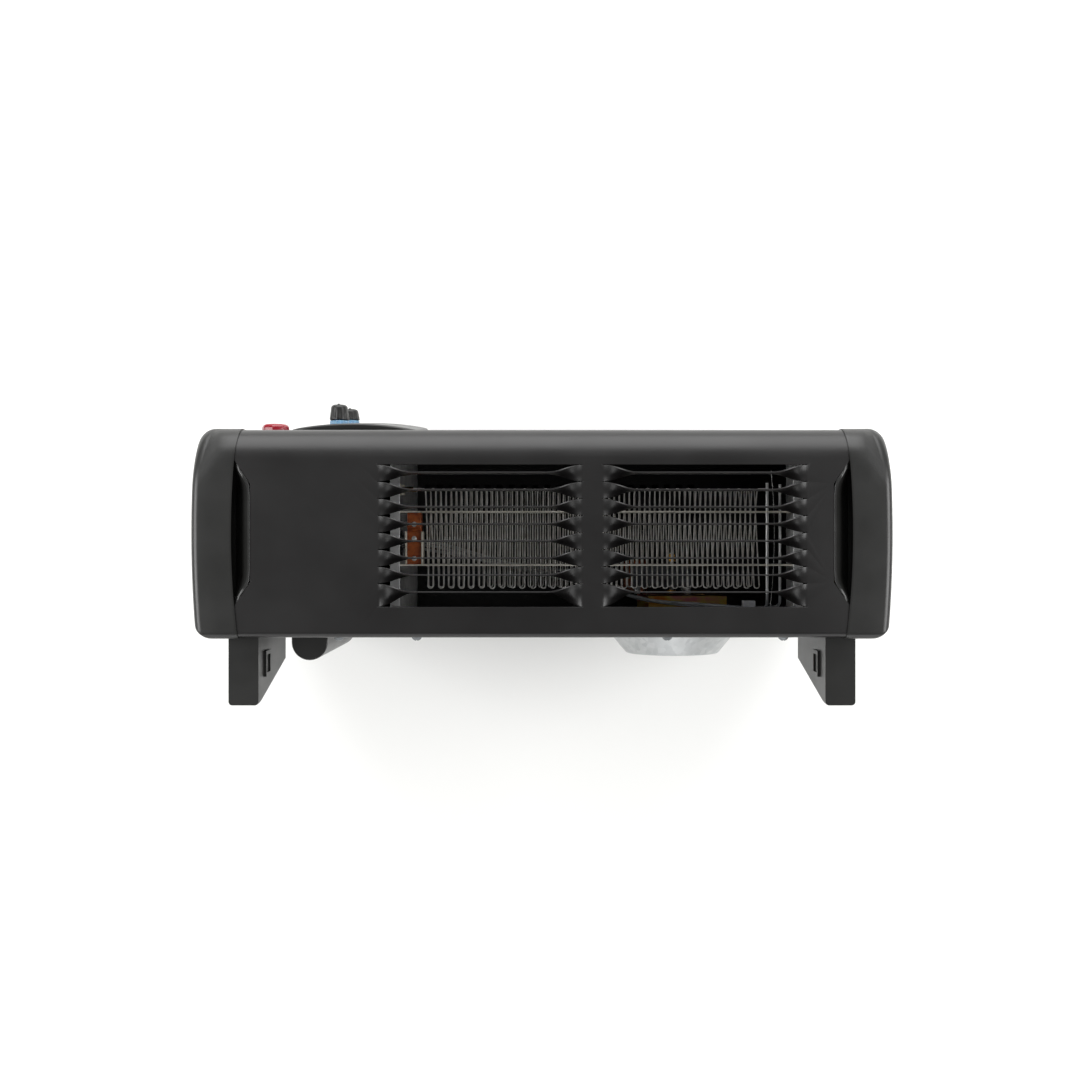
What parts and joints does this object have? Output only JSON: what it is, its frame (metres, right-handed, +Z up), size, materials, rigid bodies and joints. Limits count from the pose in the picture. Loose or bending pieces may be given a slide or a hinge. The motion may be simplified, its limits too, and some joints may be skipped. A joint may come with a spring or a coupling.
{
  "type": "electric space heater",
  "caption": "Free-standing electric convector heater with a fan: louvred top outlet, end caps with hand grips, rotary power and thermostat controls, pilot lamp, rear fan guard.",
  "frame": {"origin": "middle of the footprint of the whole heater, on the floor", "axes": "+X along the heater's width towards its controls, +Y towards its back, +Z up"},
  "size_m": [0.53, 0.241, 0.4047],
  "materials": {
    "black_steel": "satin black powder coat",
    "black_abs": "satin moulded ABS",
    "zinc_steel": "bright zinc plate",
    "galvanised": "galvanised sheet",
    "chromate_steel": "yellow chromate over zinc",
    "mica": "pressed mica board",
    "nichrome": "drawn wire with heat tint",
    "brass": "plain turned",
    "porcelain": "steatite, semi-matt",
    "phenolic": "moulded phenolic",
    "copper": "enamelled winding",
    "ring_blue": "pale blue translucent moulding",
    "lens_red": "clear crimson moulding",
    "lamp_neon": "clear neon envelope",
    "rubber": "moulded",
    "switch_body": "moulded nylon",
    "thermostat_body": "steatite",
    "lamination": "stacked steel sheet",
    "impeller_nylon": "moulded nylon",
    "lead_grey": "silicone insulation",
    "clip_nylon": "natural nylon"
  },
  "bodies": {
    "root": {"casing": "black_steel", "back_panel": "black_steel", "base_plate": "black_steel", "end_cap_left": "black_abs", "end_cap_right": "black_abs", "grip_cup_left": "black_abs", "grip_cup_right": "black_abs", "foot_left": "black_abs", "foot_right": "black_abs", "foot_screws": "zinc_steel", "wall_spacer_left": "black_abs", "wall_spacer_right": "black_abs", "spacer_screws": "zinc_steel", "back_screws": "zinc_steel", "control_plate": "black_abs", "power_dial_ring": "ring_blue", "thermostat_dial_ring": "ring_blue", "power_switch": "switch_body", "thermostat_body": "thermostat_body", "pilot_lens": "lens_red", "pilot_lamp": "lamp_neon", "bulkhead": "galvanised", "far_bracket": "galvanised", "mica_strip_front": "mica", "mica_strip_rear": "mica", "heating_wire_upper": "nichrome", "heating_wire_lower": "nichrome", "connecting_rods": "zinc_steel", "terminal_bushes": "porcelain", "terminal_pins": "brass", "thermal_cutout": "phenolic", "cutout_insulators": "porcelain", "cutout_rivets": "zinc_steel", "lead_grommet": "rubber", "fan_bracket": "chromate_steel", "motor_core": "lamination", "motor_coil": "copper", "motor_pillars": "zinc_steel", "bearing_front": "brass", "bearing_rear": "brass", "bearing_plate": "chromate_steel", "rear_guard": "galvanised", "guard_screws": "zinc_steel", "fan_screws": "zinc_steel", "cable_cover": "black_abs", "cord_gland": "rubber", "terminal_block": "porcelain", "fan_leads": "lead_grey", "return_leads": "lead_grey", "control_leads": "lead_grey", "lead_clip": "clip_nylon"},
    "power_control": {"power_knob": "black_abs", "power_spindle": "zinc_steel"},
    "thermostat_control": {"thermostat_knob": "black_abs", "thermostat_spindle": "zinc_steel"},
    "fan_rotor": {"fan_shaft": "zinc_steel", "motor_rotor": "zinc_steel", "impeller": "impeller_nylon"}
  },
  "joints": [
    {"name": "power_turn", "type": "hinge", "parent": "root", "child": "power_control", "pos_m": [0.166, -0.105, 0.3], "axis": [0, 1, 0], "range_deg": [0, 270]},
    {"name": "thermostat_turn", "type": "hinge", "parent": "root", "child": "thermostat_control", "pos_m": [0.166, -0.105, 0.23], "axis": [0, 1, 0], "range_deg": [0, 300]},
    {"name": "fan_spin", "type": "hinge", "parent": "root", "child": "fan_rotor", "pos_m": [-0.12, 0.05, 0.15], "axis": [0, 1, 0], "continuous": true}
  ]
}
